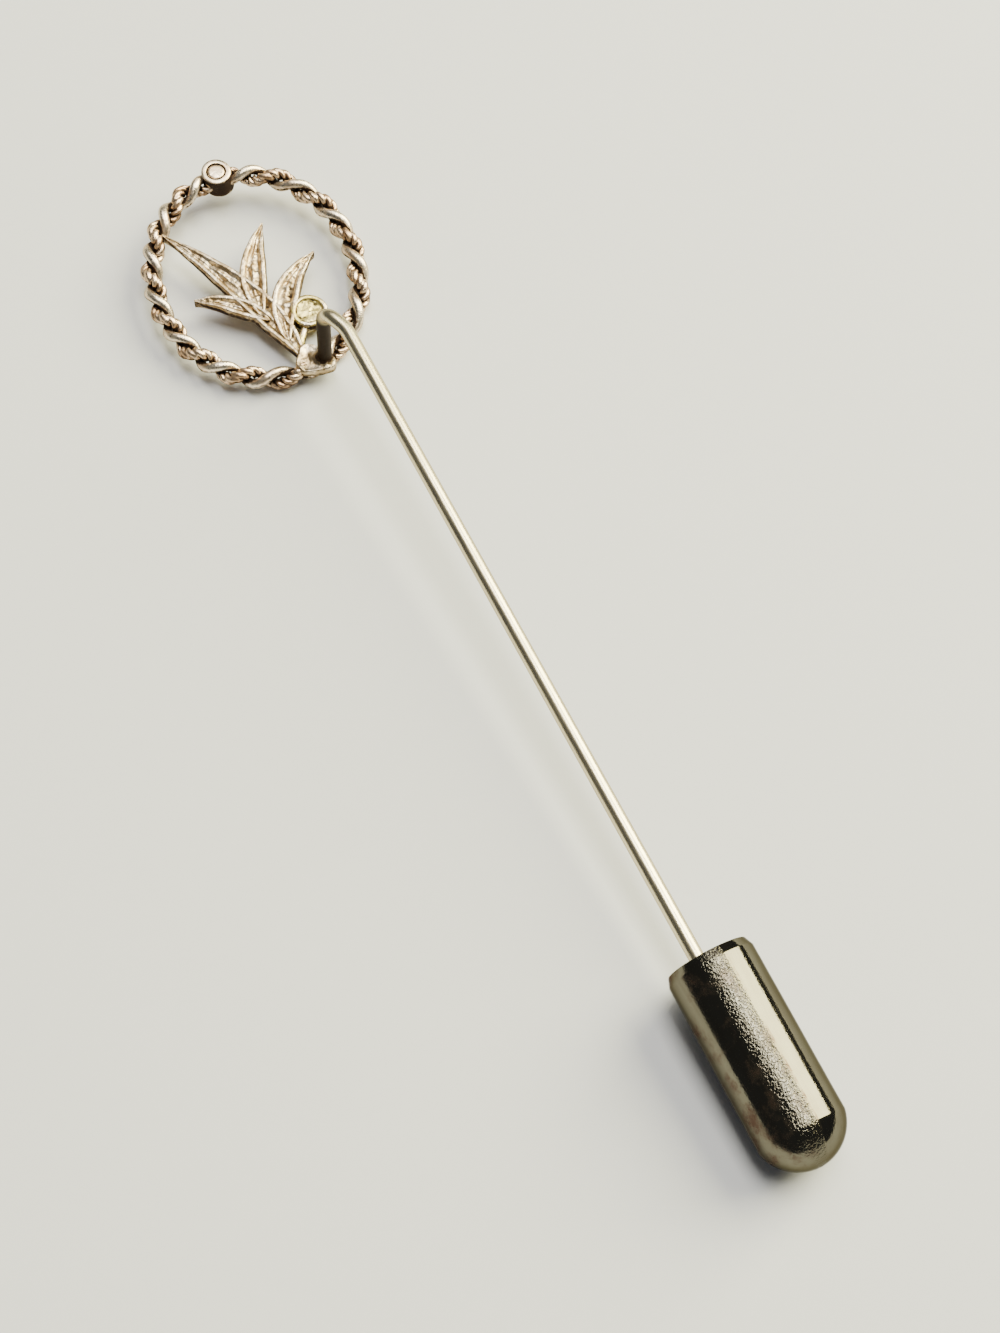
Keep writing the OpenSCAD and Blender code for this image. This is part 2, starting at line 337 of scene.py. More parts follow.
def tube_faces(rows, cols):
    """Faces of a stack of closed rings: quads between rings, and a fan to a pole at each end."""
    i, j = (k.ravel() for k in np.meshgrid(np.arange(rows - 1), np.arange(cols), indexing="ij"))
    after = (j + 1) % cols
    quads = np.column_stack([i * cols + j, i * cols + after, (i + 1) * cols + after, (i + 1) * cols + j])
    ring = np.arange(cols)
    after = (ring + 1) % cols
    last = (rows - 1) * cols
    near = np.column_stack([np.full(cols, rows * cols), after, ring])
    far = np.column_stack([np.full(cols, rows * cols + 1), last + ring, last + after])
    return quads, np.vstack([near, far])


def signed_volume(points, faces):
    """Six times the volume inside the faces, positive where they point outwards."""
    a, b, c = (points[faces[:, k]] for k in range(3))
    total = np.sum(np.cross(a, b) * c)
    if faces.shape[1] == 4:
        total += np.sum(np.cross(a, c) * points[faces[:, 3]])
    return total


def make_piece(name, tubes, material, body, nodes, painted_wall_shade=0.0):
    """One piece from closed tubes, each a grid of points (rows, around, 3) with a height mask (rows, around).

    The mask is 0 in the grooves and 1 on what stands proud. Upright walls lose the given share of it as
    painted shade, and the mesh keeps the result as the attribute "proud", grooves and painted shade in one.
    """
    points, proud, faces, base = [], [], [], 0
    for grid, mask in tubes:
        rows, cols = grid.shape[:2]
        placed = place_head(grid.reshape(-1, 3))
        poles = place_head(grid[[0, -1]].mean(axis=1))
        solid = np.vstack([placed, poles])
        quads, fans = tube_faces(rows, cols)
        middle = solid.mean(axis=0)
        if signed_volume(solid - middle, quads) + signed_volume(solid - middle, fans) < 0:
            quads, fans = quads[:, ::-1], fans[:, ::-1]
        faces += (quads + base).tolist() + (fans + base).tolist()
        points.append(solid)
        proud.append(np.concatenate([mask.ravel(), mask[[0, -1]].mean(axis=1)]))
        base += len(solid)
    mesh = bpy.data.meshes.new(name)
    mesh.from_pydata(np.vstack(points).tolist(), [], faces)
    mesh.polygons.foreach_set("use_smooth", np.ones(len(mesh.polygons), dtype=bool))
    if mesh.validate():
        raise RuntimeError(f"{name} has faces that had to be mended")
    normals = np.zeros(3 * base)
    mesh.vertex_normals.foreach_get("vector", normals)
    # Painted shade on upright walls: where the normal lies near level, the mask loses the given share.
    flat = ease(np.abs(normals[2::3]), 0.05, 0.7)
    shown = np.concatenate(proud) * (1 - painted_wall_shade * (1 - flat))
    layer = mesh.attributes.new("proud", "FLOAT", "POINT")
    layer.data.foreach_set("value", shown.astype(np.float32))
    mesh.materials.append(material)
    piece = bpy.data.objects.new(name, mesh)
    bpy.context.scene.collection.objects.link(piece)
    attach(piece, body)
    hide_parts(*nodes)
    return piece


# Materials

def socket_value(tree, node, key, value):
    """Links the input to another node's socket, or sets its own value."""
    if isinstance(value, bpy.types.NodeSocket):
        tree.links.new(value, node.inputs[key])
    else:
        node.inputs[key].default_value = value


def add_node(tree, kind, inputs=None, **settings):
    """A new node with its settings and inputs."""
    node = tree.nodes.new(kind)
    for key, value in settings.items():
        setattr(node, key, value)
    for key, value in (inputs or {}).items():
        socket_value(tree, node, key, value)
    return node


def noise(tree, vector, scale, detail=3.0, roughness=0.55):
    """Value of a noise texture at the vector."""
    return add_node(
        tree,
        "ShaderNodeTexNoise",
        {"Vector": vector, "Scale": scale, "Detail": detail, "Roughness": roughness},
    ).outputs["Fac"]


def ramp(tree, value, low, high, to_low=0.0, to_high=1.0):
    """The value eased from low to high onto to_low to to_high."""
    inputs = {"Value": value, "From Min": low, "From Max": high, "To Min": to_low, "To Max": to_high}
    return add_node(tree, "ShaderNodeMapRange", inputs, interpolation_type="SMOOTHSTEP").outputs["Result"]


def math_node(tree, operation, first, second, clamp=False):
    """Two values put together by one operation."""
    node = add_node(tree, "ShaderNodeMath", {0: first, 1: second}, operation=operation, use_clamp=clamp)
    return node.outputs["Value"]


def plus(tree, first, second, clamp=False):
    """The sum of two values."""
    return math_node(tree, "ADD", first, second, clamp)


def minus(tree, first, second):
    """The first value less the second."""
    return math_node(tree, "SUBTRACT", first, second)


def times(tree, first, second):
    """The product of two values."""
    return math_node(tree, "MULTIPLY", first, second)


def mix_colour(tree, factor, first, second):
    """First where the factor is 0 and second where it is 1."""
    node = tree.nodes.new("ShaderNodeMix")
    node.data_type = "RGBA"
    sockets = [s.identifier for s in node.inputs]
    for key, value in (("Factor_Float", factor), ("A_Color", first), ("B_Color", second)):
        socket_value(tree, node, sockets.index(key), value)
    return next(s for s in node.outputs if s.identifier == "Result_Color")


def new_group(name, inputs, outputs):
    """A shader node group with named sockets, and its input and output nodes."""
    tree = bpy.data.node_groups.new(name, "ShaderNodeTree")
    for label, kind in inputs.items():
        tree.interface.new_socket(name=label, in_out="INPUT", socket_type=kind)
    for label, kind in outputs.items():
        tree.interface.new_socket(name=label, in_out="OUTPUT", socket_type=kind)
    return tree, tree.nodes.new("NodeGroupInput").outputs, tree.nodes.new("NodeGroupOutput")


FLOAT, COLOUR, VECTOR = "NodeSocketFloat", "NodeSocketColor", "NodeSocketVector"

# Tint of the metals where they are seen edge on, the stretch of wear along the pin, and the scales of the
# broad patches.
EDGE_TINT, SHELL_TINT = (0.5, 0.46, 0.38, 1.0), (0.4, 0.39, 0.37, 1.0)
WEAR_STRETCH = (0.08, 1.0, 1.0)
CLOUD_SCALE, STAIN_SCALE = 450.0, 600.0


def cast_plate_group():
    """Worn plate over cast metal.

    The proud mask, stirred by noise, parts the metal from the dark tarnish in its grooves and from the
    painted shade that the mask carries on upright walls. On the metal, broad noise mixes the plate with what
    shows where it is rubbed, most of all on what stands proud. Pits are the low ends of the grain.
    """
    inputs = {
        "Vector": VECTOR, "Proud": FLOAT, "Plate": COLOUR, "Rubbed": COLOUR, "Tarnish And Shade": COLOUR,
        "Rub": FLOAT, "Groove": FLOAT, "Pits": FLOAT, "Stain Scale": FLOAT, "Grain Scale": FLOAT,
    }
    outputs = {"Color": COLOUR, "Roughness": FLOAT, "Metallic": FLOAT, "Height": FLOAT}
    tree, given, made = new_group("Cast plate", inputs, outputs)
    stain = noise(tree, given["Vector"], given["Stain Scale"])
    grain = noise(tree, given["Vector"], given["Grain Scale"], 4.0, 0.6)
    stirred = plus(tree, given["Proud"], ramp(tree, grain, 0.25, 0.75, -0.16, 0.16))
    stirred = plus(tree, stirred, ramp(tree, stain, 0.3, 0.7, -0.12, 0.12))
    metal = ramp(tree, minus(tree, stirred, given["Groove"]), -0.16, 0.16)
    pits = times(tree, ramp(tree, grain, 0.34, 0.46, 1.0, 0.0), given["Pits"])
    metal = times(tree, metal, minus(tree, 1.0, pits))
    rubbed = plus(tree, given["Rub"], times(tree, stirred, 0.55))
    rubbed = plus(tree, rubbed, ramp(tree, stain, 0.3, 0.7, -0.35, 0.35))
    rubbed = ramp(tree, rubbed, 0.25, 0.95)
    plate = mix_colour(tree, rubbed, given["Plate"], given["Rubbed"])
    socket_value(tree, made, "Color", mix_colour(tree, metal, given["Tarnish And Shade"], plate))
    rough = minus(tree, ramp(tree, metal, 0.0, 1.0, 0.66, 0.34), times(tree, rubbed, 0.06))
    rough = plus(tree, rough, ramp(tree, grain, 0.3, 0.7, -0.06, 0.06))
    socket_value(tree, made, "Roughness", rough)
    socket_value(tree, made, "Metallic", ramp(tree, metal, 0.0, 0.6, 0.1, 0.96))
    socket_value(tree, made, "Height", grain)
    return tree


def pitted_group():
    """Fine pits and longer wear marks on a turned surface.

    Pits are the low ends of a fine noise, and the wear is a noise stretched along the piece. Cloud is a broad
    noise that dulls the polish in patches.
    """
    inputs = {
        "Vector": VECTOR, "Along": VECTOR, "Pit Scale": FLOAT, "Wear Scale": FLOAT, "Cloud Scale": FLOAT,
    }
    outputs = {"Height": FLOAT, "Wear": FLOAT, "Cloud": FLOAT}
    tree, given, made = new_group("Pitted metal", inputs, outputs)
    pits = noise(tree, given["Vector"], given["Pit Scale"], 2.0, 0.5)
    wear = noise(tree, given["Along"], given["Wear Scale"], 4.0, 0.6)
    cloud = noise(tree, given["Vector"], given["Cloud Scale"], 3.0, 0.6)
    height = plus(tree, ramp(tree, pits, 0.3, 0.6), times(tree, wear, 0.1))
    socket_value(tree, made, "Height", height)
    socket_value(tree, made, "Wear", ramp(tree, wear, 0.35, 0.65))
    socket_value(tree, made, "Cloud", ramp(tree, cloud, 0.3, 0.7))
    return tree


def group_node(tree, group, inputs):
    """A placed node group with its own values."""
    node = tree.nodes.new("ShaderNodeGroup")
    node.node_tree = group
    for key, value in inputs.items():
        socket_value(tree, node, key, value)
    return node.outputs


def opaque(rgb):
    """A colour with its alpha."""
    return (rgb[0], rgb[1], rgb[2], 1.0)


def new_material(name):
    """An empty material with a Principled shader, and its tree, shader and Object coordinates."""
    material = bpy.data.materials.new(name)
    material.use_nodes = True
    tree = material.node_tree
    shader = tree.nodes["Principled BSDF"]
    place = tree.nodes.new("ShaderNodeTexCoord").outputs["Object"]
    return material, tree, shader, place


def bump(tree, shader, height, strength, distance):
    """Raises the surface's shading by the height, in metres times the distance."""
    inputs = {"Height": height, "Strength": strength, "Distance": distance}
    socket_value(tree, shader, "Normal", add_node(tree, "ShaderNodeBump", inputs).outputs["Normal"])


def named_group(name, build):
    """The node group of that name, built the first time it is asked for."""
    return bpy.data.node_groups.get(name) or build()


def cast_material(name, plate, rubbed, recess, rub, groove, pits=0.0, stain=900.0, grain=5200.0, relief=0.35):
    """Worn plate over cast metal, dark in its grooves, from the shared group and a bump of its grain."""
    material, tree, shader, place = new_material(name)
    proud = add_node(tree, "ShaderNodeAttribute", attribute_name="proud").outputs["Fac"]
    made = group_node(tree, named_group("Cast plate", cast_plate_group), {
        "Vector": place, "Proud": proud, "Plate": opaque(plate), "Rubbed": opaque(rubbed),
        "Tarnish And Shade": opaque(recess), "Rub": rub, "Groove": groove, "Pits": pits,
        "Stain Scale": stain, "Grain Scale": grain,
    })
    socket_value(tree, shader, "Base Color", made["Color"])
    socket_value(tree, shader, "Roughness", made["Roughness"])
    socket_value(tree, shader, "Metallic", made["Metallic"])
    shader.inputs["Specular IOR Level"].default_value = 0.1
    shader.inputs["Specular Tint"].default_value = EDGE_TINT
    bump(tree, shader, made["Height"], relief, 0.05 * MM)
    return material


def rough_cast_material(name, plate, rubbed, recess, rub, groove, pits=0.6):
    """The worn plate with the pits and coarse grain of an unpolished casting."""
    return cast_material(
        name, plate, rubbed, recess, rub, groove, pits, stain=1100.0, grain=5000.0, relief=0.8
    )


def turned_material(
    name, base, dark, rough, polish, pits, wear, relief, scale=None, grain=0.0, stain=None, edge=EDGE_TINT
):
    """Turned or drawn metal with fine pits and wear that runs along the pin.

    With a scale colour, the metal is hidden under fire scale where the mask "proud" is 0. With a grain, the
    pits are strong and the surface rougher by that much where the mask is 1, and faint up to a half. With a
    stain colour, dull patches of it lie where the mask is a half, and fainter ones where it is 1.
    """
    material, tree, shader, place = new_material(name)
    along = add_node(tree, "ShaderNodeMapping", {"Vector": place, "Scale": WEAR_STRETCH}).outputs["Vector"]
    made = group_node(tree, named_group("Pitted metal", pitted_group), {
        "Vector": place, "Along": along, "Pit Scale": pits, "Wear Scale": wear, "Cloud Scale": CLOUD_SCALE,
    })
    mixed = plus(tree, times(tree, made["Wear"], 0.35), times(tree, made["Cloud"], 0.35), clamp=True)
    shown = mix_colour(tree, mixed, opaque(base), opaque(dark))
    proud = add_node(tree, "ShaderNodeAttribute", attribute_name="proud").outputs["Fac"]
    roughness, height = ramp(tree, mixed, 0.0, 0.7, polish, rough), made["Height"]
    shader.inputs["Metallic"].default_value = 1.0
    shader.inputs["Specular IOR Level"].default_value = 0.1
    shader.inputs["Specular Tint"].default_value = edge
    if scale:
        stirred = plus(tree, proud, ramp(tree, made["Cloud"], 0.0, 1.0, 0.1, -0.1))
        clean = ramp(tree, stirred, 0.1, 0.9)
        shown = mix_colour(tree, clean, opaque(scale), shown)
        socket_value(tree, shader, "Metallic", ramp(tree, clean, 0.0, 0.5, 0.1, 1.0))
        roughness = plus(tree, roughness, ramp(tree, clean, 0.0, 1.0, 0.25, 0.0))
    if grain:
        roughness = plus(tree, roughness, ramp(tree, proud, 0.5, 1.0, 0.0, grain))
        height = times(tree, height, ramp(tree, proud, 0.5, 1.0, 0.1, 1.0))
    if stain:
        patches = ramp(tree, noise(tree, place, STAIN_SCALE, 5.0, 0.7), 0.45, 0.68)
        patches = times(tree, patches, ramp(tree, proud, 0.1, 0.5))
        patches = times(tree, patches, ramp(tree, proud, 0.6, 1.0, 1.0, 0.4))
        shown = mix_colour(tree, patches, shown, opaque(stain))
        roughness = plus(tree, roughness, times(tree, patches, 0.22))
        socket_value(tree, shader, "Metallic", ramp(tree, patches, 0.0, 1.0, 1.0, 0.85))
    socket_value(tree, shader, "Base Color", shown)
    socket_value(tree, shader, "Roughness", roughness)
    bump(tree, shader, height, relief, 0.02 * MM)
    return material


def stone_material(tint):
    """Clear cut stone."""
    material, tree, shader, place = new_material("clear_stone")
    haze = noise(tree, place, 2500.0)
    pale = tuple(0.94 * c for c in tint)
    socket_value(tree, shader, "Base Color", mix_colour(tree, haze, opaque(tint), opaque(pale)))
    shader.inputs["Roughness"].default_value = 0.02
    shader.inputs["IOR"].default_value = 1.65
    shader.inputs["Transmission Weight"].default_value = 1.0
    return material


def floor_material(paint):
    """Matt pale paper with a faint fibre."""
    material, tree, shader, place = new_material("floor")
    fibre = noise(tree, place, 900.0, 4.0, 0.6)
    darker = tuple(0.97 * c for c in paint)
    socket_value(tree, shader, "Base Color", mix_colour(tree, fibre, opaque(darker), opaque(paint)))
    shader.inputs["Roughness"].default_value = 0.9
    bump(tree, shader, fibre, 0.08, 0.05 * MM)
    return material


# Pieces

# Rows and sides of the grids.
ROPE_ROWS, STRAND_SIDES = 1500, 20
CORD_ROWS, CORD_SIDES = 2400, 30
BEZEL_ROWS, BEZEL_SIDES = 130, 72
LEAF_ROWS, LEAF_SIDES = 130, 64
BERRY_ROWS, BERRY_SIDES = 90, 56
STALK_ROWS, STALK_SIDES = 30, 24
PAD_SIDES, PAD_SMOOTHING = 96, 6
WIRE_SIDES = 32
OUTER_DOME, INNER_DOME, WALL_ROWS, BEVEL_ROWS, CLUTCH_SIDES = 22, 10, 40, 12, 160

# The wire is worked out at this many points, and its grid keeps one in so many of them on each stretch.
WIRE_POINTS, BEND_STEP, SHAFT_STEP, POINT_STEP = 6000, 12, 60, 10

# First seed of each piece's noise. A piece stirred more than once counts on from it.
SMOOTH_SEED, CORD_SEED, BEZEL_SEED, BERRY_SEED, PAD_SEED, SHELL_SEED, LEAF_SEED = 3, 4, 7, 21, 31, 41, 50

# The strands: the plies with their radius as a share of their distance from the middle, the angle from the
# bezel at which the strands end, and how thin they are there.
PLIES, PLY_FULLNESS = 3, 1.04
STRAND_END = math.radians(6.4)
NECK, NECK_LENGTH = 0.88, 1.1 * MM

# The bezel: the way that its back leans, the dents in its wall and the roughness of its disc.
BEZEL_LEAN = np.array([-0.46, -0.89])
BEZEL_DENT, DISC_ROUGH = 0.015 * MM, 0.018 * MM

# The leaves: width of the rims, depth of the hollow, half width of the midrib as a share of the leaf's, the
# height where back and front meet, the front's crown, and the veins along a leaf with their slant.
LEAF_RIM, LEAF_HOLLOW, RIB_HALF = 0.25 * MM, 0.24 * MM, 0.13
LEAF_SEAM, FRONT_CROWN, VEINS, VEIN_SLANT = 0.1 * MM, 1.7, 11, 2.2

# The berry: heights of its back rim, of the seam where its wall meets the round front, and of its stalk, and
# the roughness of its back.
BERRY_TOP, BERRY_SEAM, STALK_RISE, BERRY_ROUGH = 0.56 * MM, 0.1 * MM, 0.05 * MM, 0.07 * MM

# The solder pad: share of it that is flat, the fillet at the post with the length over which it fades, the
# roughness and the hollow.
PAD_FLAT, FILLET, FILLET_FADE = 0.86, 0.42 * MM, 0.16 * MM
PAD_ROUGH, PAD_HOLLOW = 0.09 * MM, 0.12 * MM

# The shell: depth of its dents, rounding of the mouth, and the angles from its side, in degrees, over which
# the pitted strip begins, gives way to the stained side, and that side ends.
SHELL_DENT, MOUTH_LIP = 0.010 * MM, 0.1 * MM
STRIP_BEGINS, STRIP_ENDS, STAIN_ENDS = (78, 84), (104, 128), (250, 290)


def strand_line(rope, setting, rows, half_turn):
    """Centre line of one strand, with the rope's outward direction at each point and its swell.

    The strand turns about the oval: oval + offset * (cos a * normal + sin a * up), where the angle a grows
    with the share s of the oval's length, a = phase + turns * full turn * lay(s), and the lay follows its
    marks. With half_turn 1 the strand lies opposite the one with 0. The swell is 1 along the rope and eases
    down to the neck at both ends, and it scales the offset.
    """
    whole = setting.turn + np.linspace(LAY_START, 2 * math.pi - LAY_START, 4 * rows)
    steps = np.linalg.norm(np.diff(oval(rope, whole)[0], axis=0), axis=1)
    run = np.concatenate([[0], np.cumsum(steps)])
    t = setting.turn + np.linspace(STRAND_END, 2 * math.pi - STRAND_END, rows)
    centre, normal = oval(rope, t)
    length = np.interp(t, whole, run)
    share = length / run[-1]
    at, turned = np.transpose(LAY_MARKS)
    angle = rope.phase + half_turn * math.pi + 2 * math.pi * rope.turns * np.interp(share, at, turned)
    to_end = np.minimum(length - length[0], length[-1] - length)
    swell = NECK + (1 - NECK) * ease(to_end, 0, NECK_LENGTH)
    out = np.cos(angle)[:, None] * normal + np.sin(angle)[:, None] * np.array([0, 0, 1.0])
    line = centre + rope.offset * swell[:, None] * out
    return line, out, swell, share


def smooth_strand(rope, setting):
    """A round wire along its strand's line, with its inner side lost in the groove.

    Its radius is the strand's times the swell times 1 + 0.06 noise, and the mask rises with cos u, from the
    side in the groove to the outer side.
    """
    line, out, swell, _ = strand_line(rope, setting, ROPE_ROWS, 0)
    angles = round_angles(STRAND_SIDES)
    uneven = 1 + 0.06 * lattice_noise(line, 0.7 * MM, SMOOTH_SEED)
    radius = rope.strand_r * (swell * uneven)[:, None] * np.ones(STRAND_SIDES)
    grid = carried(line, unit(np.gradient(line, axis=0)), out, radius, angles)
    proud = ease(np.cos(angles), -0.5, 0.6) * np.ones((ROPE_ROWS, 1))
    return grid, proud


def corded_strand(rope, setting):
    """Three plies twisted against the rope's own lay, uneven and worn flatter on the outside.

    Round the strand the radius is that of three overlapping circles: with d the distance of a ply's centre, p
    its radius and v the angle to the nearest ply, it is d cos v + sqrt(p^2 - d^2 sin^2 v), taken as a share
    of d + p. The nearest ply is found from the angle less the ply turns made so far. Noise shifts the plies a
    little along the strand, and wear fills part of the valleys where the strand faces outwards.
    """
    line, out, swell, share = strand_line(rope, setting, CORD_ROWS, 1)
    angles = round_angles(CORD_SIDES)
    shift = 0.35 * lattice_noise(line, 0.7 * MM, CORD_SEED)
    ply_angle = angles - (2 * math.pi * rope.ply_turns * share + shift)[:, None]
    sector = 2 * math.pi / PLIES
    v = (ply_angle + sector / 2) % sector - sector / 2
    d = rope.cord_r / 2
    p = d * PLY_FULLNESS
    ideal = (d * np.cos(v) + np.sqrt(p * p - (d * np.sin(v)) ** 2)) / (d + p)
    uneven = lattice_noise(line, 0.45 * MM, CORD_SEED + 2)[:, None]
    worn = ease(np.cos(angles), 0.2, 0.9) * (0.5 + 0.3 * uneven)
    shape = 1 - (1 - ideal) * (1 - worn)
    bulge = 0.97 + 0.03 * lattice_noise(line, 0.6 * MM, CORD_SEED + 1)
    radius = rope.cord_r * shape * swell[:, None] * bulge[:, None]
    grid = carried(line, unit(np.gradient(line, axis=0)), out, radius, angles)
    proud = ease(shape, 0.56, 0.8) * ease(np.cos(angles), -0.8, 0.2)
    return grid, proud


def bezel_profile(setting):
    """The bezel's profile as radius, height and mask: back disc, groove, rim, wall, front rim and cavity."""
    r, w, back, front = setting.radius, setting.wall, setting.back, setting.front
    disc, floor_z = setting.disc_r, setting.back - setting.recess
    inner = r - w
    rows = [
        (0.02 * MM, floor_z + 0.02 * MM, 0.55),
        (disc * 0.7, floor_z + 0.01 * MM, 0.52),
        (disc * 0.94, floor_z, 0.5),
        (disc, floor_z - 0.04 * MM, 0.25),
        (disc + 0.01 * MM, floor_z - 0.1 * MM, 0.0),
        (inner - 0.01 * MM, floor_z - 0.1 * MM, 0.0),
        (inner, back - 0.06 * MM, 0.4),
        (inner + 0.02 * MM, back - 0.02 * MM, 0.9),
        (inner + 0.09 * MM, back - 0.005 * MM, 1.0),
        (inner + 0.17 * MM, back, 1.0),
        (r - 0.08 * MM, back - 0.015 * MM, 1.0),
        (r - 0.02 * MM, back - 0.06 * MM, 0.9),
        # Down the outer wall the mask falls to a quarter and rises again at the front rim: painted shade on
        # the wall.
        (r, back - 0.14 * MM, 0.6),
        (r - 0.02 * MM, back - 0.4 * MM, 0.3),
        (r - 0.04 * MM, (back + front) / 2, 0.25),
        (r - 0.02 * MM, front + 0.35 * MM, 0.35),
        (r, front + 0.14 * MM, 0.7),
        (r - 0.02 * MM, front + 0.05 * MM, 0.95),
        (r - 0.08 * MM, front, 1.0),
        (inner + 0.06 * MM, front + 0.01 * MM, 1.0),
        (inner + 0.01 * MM, front + 0.05 * MM, 0.8),
        (inner, front + 0.16 * MM, 0.5),
        (inner, setting.seat - 0.02 * MM, 0.3),
        (inner - 0.04 * MM, setting.seat, 0.3),
        (0.02 * MM, setting.seat, 0.5),
    ]
    return smooth_line(rows, BEZEL_ROWS)


def bezel_tube(rope, setting):
    """The bezel turned about its own axis, with a slightly uneven wall and a rough disc in the back.

    Its back leans to one side by the lean times the share of the way from the front rim to the back rim.
    """
    profile = bezel_profile(setting)
    angles = round_angles(BEZEL_SIDES)
    grid = turned_profile(profile[:, 0], profile[:, 1], angles)
    centre, _ = oval(rope, np.array([setting.turn]))
    grid = grid + centre[0]
    uneven = lattice_noise(grid, 0.5 * MM, BEZEL_SEED)
    outside = ease(profile[:, 0], 0.6 * MM, 0.85 * MM)[:, None]
    grid = grid + (BEZEL_DENT * (uneven - 1) * outside)[..., None] * outward(angles)
    on_disc = (1 - ease(profile[:, 0], setting.disc_r * 0.75, setting.disc_r))[:, None]
    grid[..., 2] += DISC_ROUGH * on_disc * lattice_noise(grid, 0.16 * MM, BEZEL_SEED + 2)
    risen = (grid[..., 2:3] - setting.front) / (setting.back - setting.front)
    grid[..., :2] += setting.lean * risen * BEZEL_LEAN
    return grid, np.repeat(profile[:, 2:3], BEZEL_SIDES, axis=1)


def leaf_tube(sprig, row, seed):
    """A leaf with a hollow, rough back between two rims and a veined front.

    Its midline is the parabola (1-t)^2 base + 2t(1-t) bend + t^2 tip, and its half width swells as the sine
    of 180 degrees times t^0.8. Across the leaf the back is a rim that sinks to a floor with a low midrib, and
    the front falls as a power of the distance from the midrib, with fine veins that slant to the tip.
    """
    width = getattr(sprig, row[0])
    base, bend, tip = (np.array(p) * MM for p in row[1:])
    t = np.linspace(0, 1, LEAF_ROWS)[:, None]
    line = (1 - t) ** 2 * base + 2 * t * (1 - t) * bend + t * t * tip
    along = unit(2 * (1 - t) * (bend - base) + 2 * t * (tip - bend))
    side = np.column_stack([-along[:, 1], along[:, 0]])
    half = sprig.end_half + (width / 2 - sprig.end_half) * np.sin(math.pi * t ** 0.8)
    half = half * (1 - 0.55 * ease(t, 0.86, 1))
    u = round_angles(LEAF_SIDES)
    across = np.cos(u) * np.ones_like(t)
    away = np.abs(across)
    thick = sprig.depth / 2 * (1 - 0.35 * ease(t, 0.65, 1))
    rim = np.clip(LEAF_RIM / half, 0.18, 0.42)
    deep = np.minimum(LEAF_HOLLOW, half * 0.4)
    sunk = 1 - ease(away, 1 - 2.1 * rim, 1 - 1.1 * rim)
    rib = np.exp(-(across / RIB_HALF) ** 2)
    edge = np.clip((away - (1 - 0.55 * rim)) / (0.55 * rim), 0, 1)
    back = (thick - LEAF_SEAM) * np.sqrt(1 - edge ** 2) + LEAF_SEAM - deep * sunk * (1 - 0.5 * rib)
    veins = np.sin(2 * math.pi * (VEINS * t - VEIN_SLANT * away)) * (1 - rib) * (1 - ease(away, 0.75, 1))
    crown = (1 - away ** FRONT_CROWN) * (1 + 0.05 * veins)
    front = LEAF_SEAM - (thick + LEAF_SEAM) * crown - 0.05 * MM * rib
    top = np.sin(u) >= 0
    height = np.where(top, back, front)
    flat = line[:, None] + across[..., None] * half[..., None] * side[:, None]
    grid = np.concatenate([flat, height[..., None]], -1)
    rough = 0.6 * lattice_noise(grid, 0.5 * MM, seed) + 0.4 * lattice_noise(grid, 0.2 * MM, seed + 1)
    grid[..., 2] += np.where(top, (0.03 + 0.16 * sunk) * MM * rough, 0)
    swing = 0.03 * MM * lattice_noise(grid, 0.9 * MM, seed + 2)
    grid[..., :2] += (swing * away)[..., None] * side[:, None]
    back_mask = 1 - 0.45 * sunk * (1 - 0.4 * rib) + 0.75 * sunk * rough
    back_mask = back_mask * (1 - 0.5 * ease(edge, 0.55, 1))
    front_mask = 0.75 + 0.3 * veins - 0.4 * ease(away, 0.7, 1)
    return grid, np.clip(np.where(top, back_mask, front_mask), 0, 1)


def berry_tube(sprig):
    """A berry turned about its own axis: an oval front, and a flat, rough back inside a rim.

    The profile runs over the back's floor, the rim and the wall, and ends as the quarter oval
    (r cos a, -depth sin a) under the seam. Noise roughens the floor, and widens or narrows the berry by 3 %
    at most.
    """
    r = sprig.berry_r
    inside = r * 0.7
    rows = [
        (0.02 * MM, BERRY_TOP - 0.13 * MM, 0.6),
        (inside * 0.8, BERRY_TOP - 0.15 * MM, 0.5),
        (inside, BERRY_TOP - 0.12 * MM, 0.3),
        (inside + 0.06 * MM, BERRY_TOP - 0.03 * MM, 0.9),
        (inside + 0.14 * MM, BERRY_TOP, 1.0),
        (r * 0.93, BERRY_TOP - 0.02 * MM, 1.0),
        (r * 0.985, BERRY_TOP - 0.09 * MM, 0.9),
        (r, BERRY_TOP - 0.22 * MM, 0.5),
    ]
    round_front = arc((0, 0), 1, 0, -89, 24) * (r, sprig.berry_depth) + (0, BERRY_SEAM)
    shaded = np.column_stack([round_front, np.linspace(0.4, 0.95, len(round_front))])
    profile = smooth_line(np.vstack([rows, shaded]), BERRY_ROWS)
    angles = round_angles(BERRY_SIDES)
    grid = turned_profile(profile[:, 0], profile[:, 1], angles) + np.array([*BERRY_AT, 0])
    rough = lattice_noise(grid, 0.3 * MM, BERRY_SEED) + 0.5 * lattice_noise(grid, 0.13 * MM, BERRY_SEED + 1)
    floor_part = (1 - ease(profile[:, 0], inside * 0.8, inside)) * (profile[:, 1] > 0)
    grid[..., 2] += BERRY_ROUGH * floor_part[:, None] * rough
    spread = 1 + 0.03 * lattice_noise(grid, 0.7 * MM, BERRY_SEED + 2)
    grid[..., :2] = BERRY_AT + (grid[..., :2] - BERRY_AT) * spread[..., None]
    mask = profile[:, 2:3] + 0.35 * floor_part[:, None] * rough
    return grid, np.clip(mask, 0, 1)


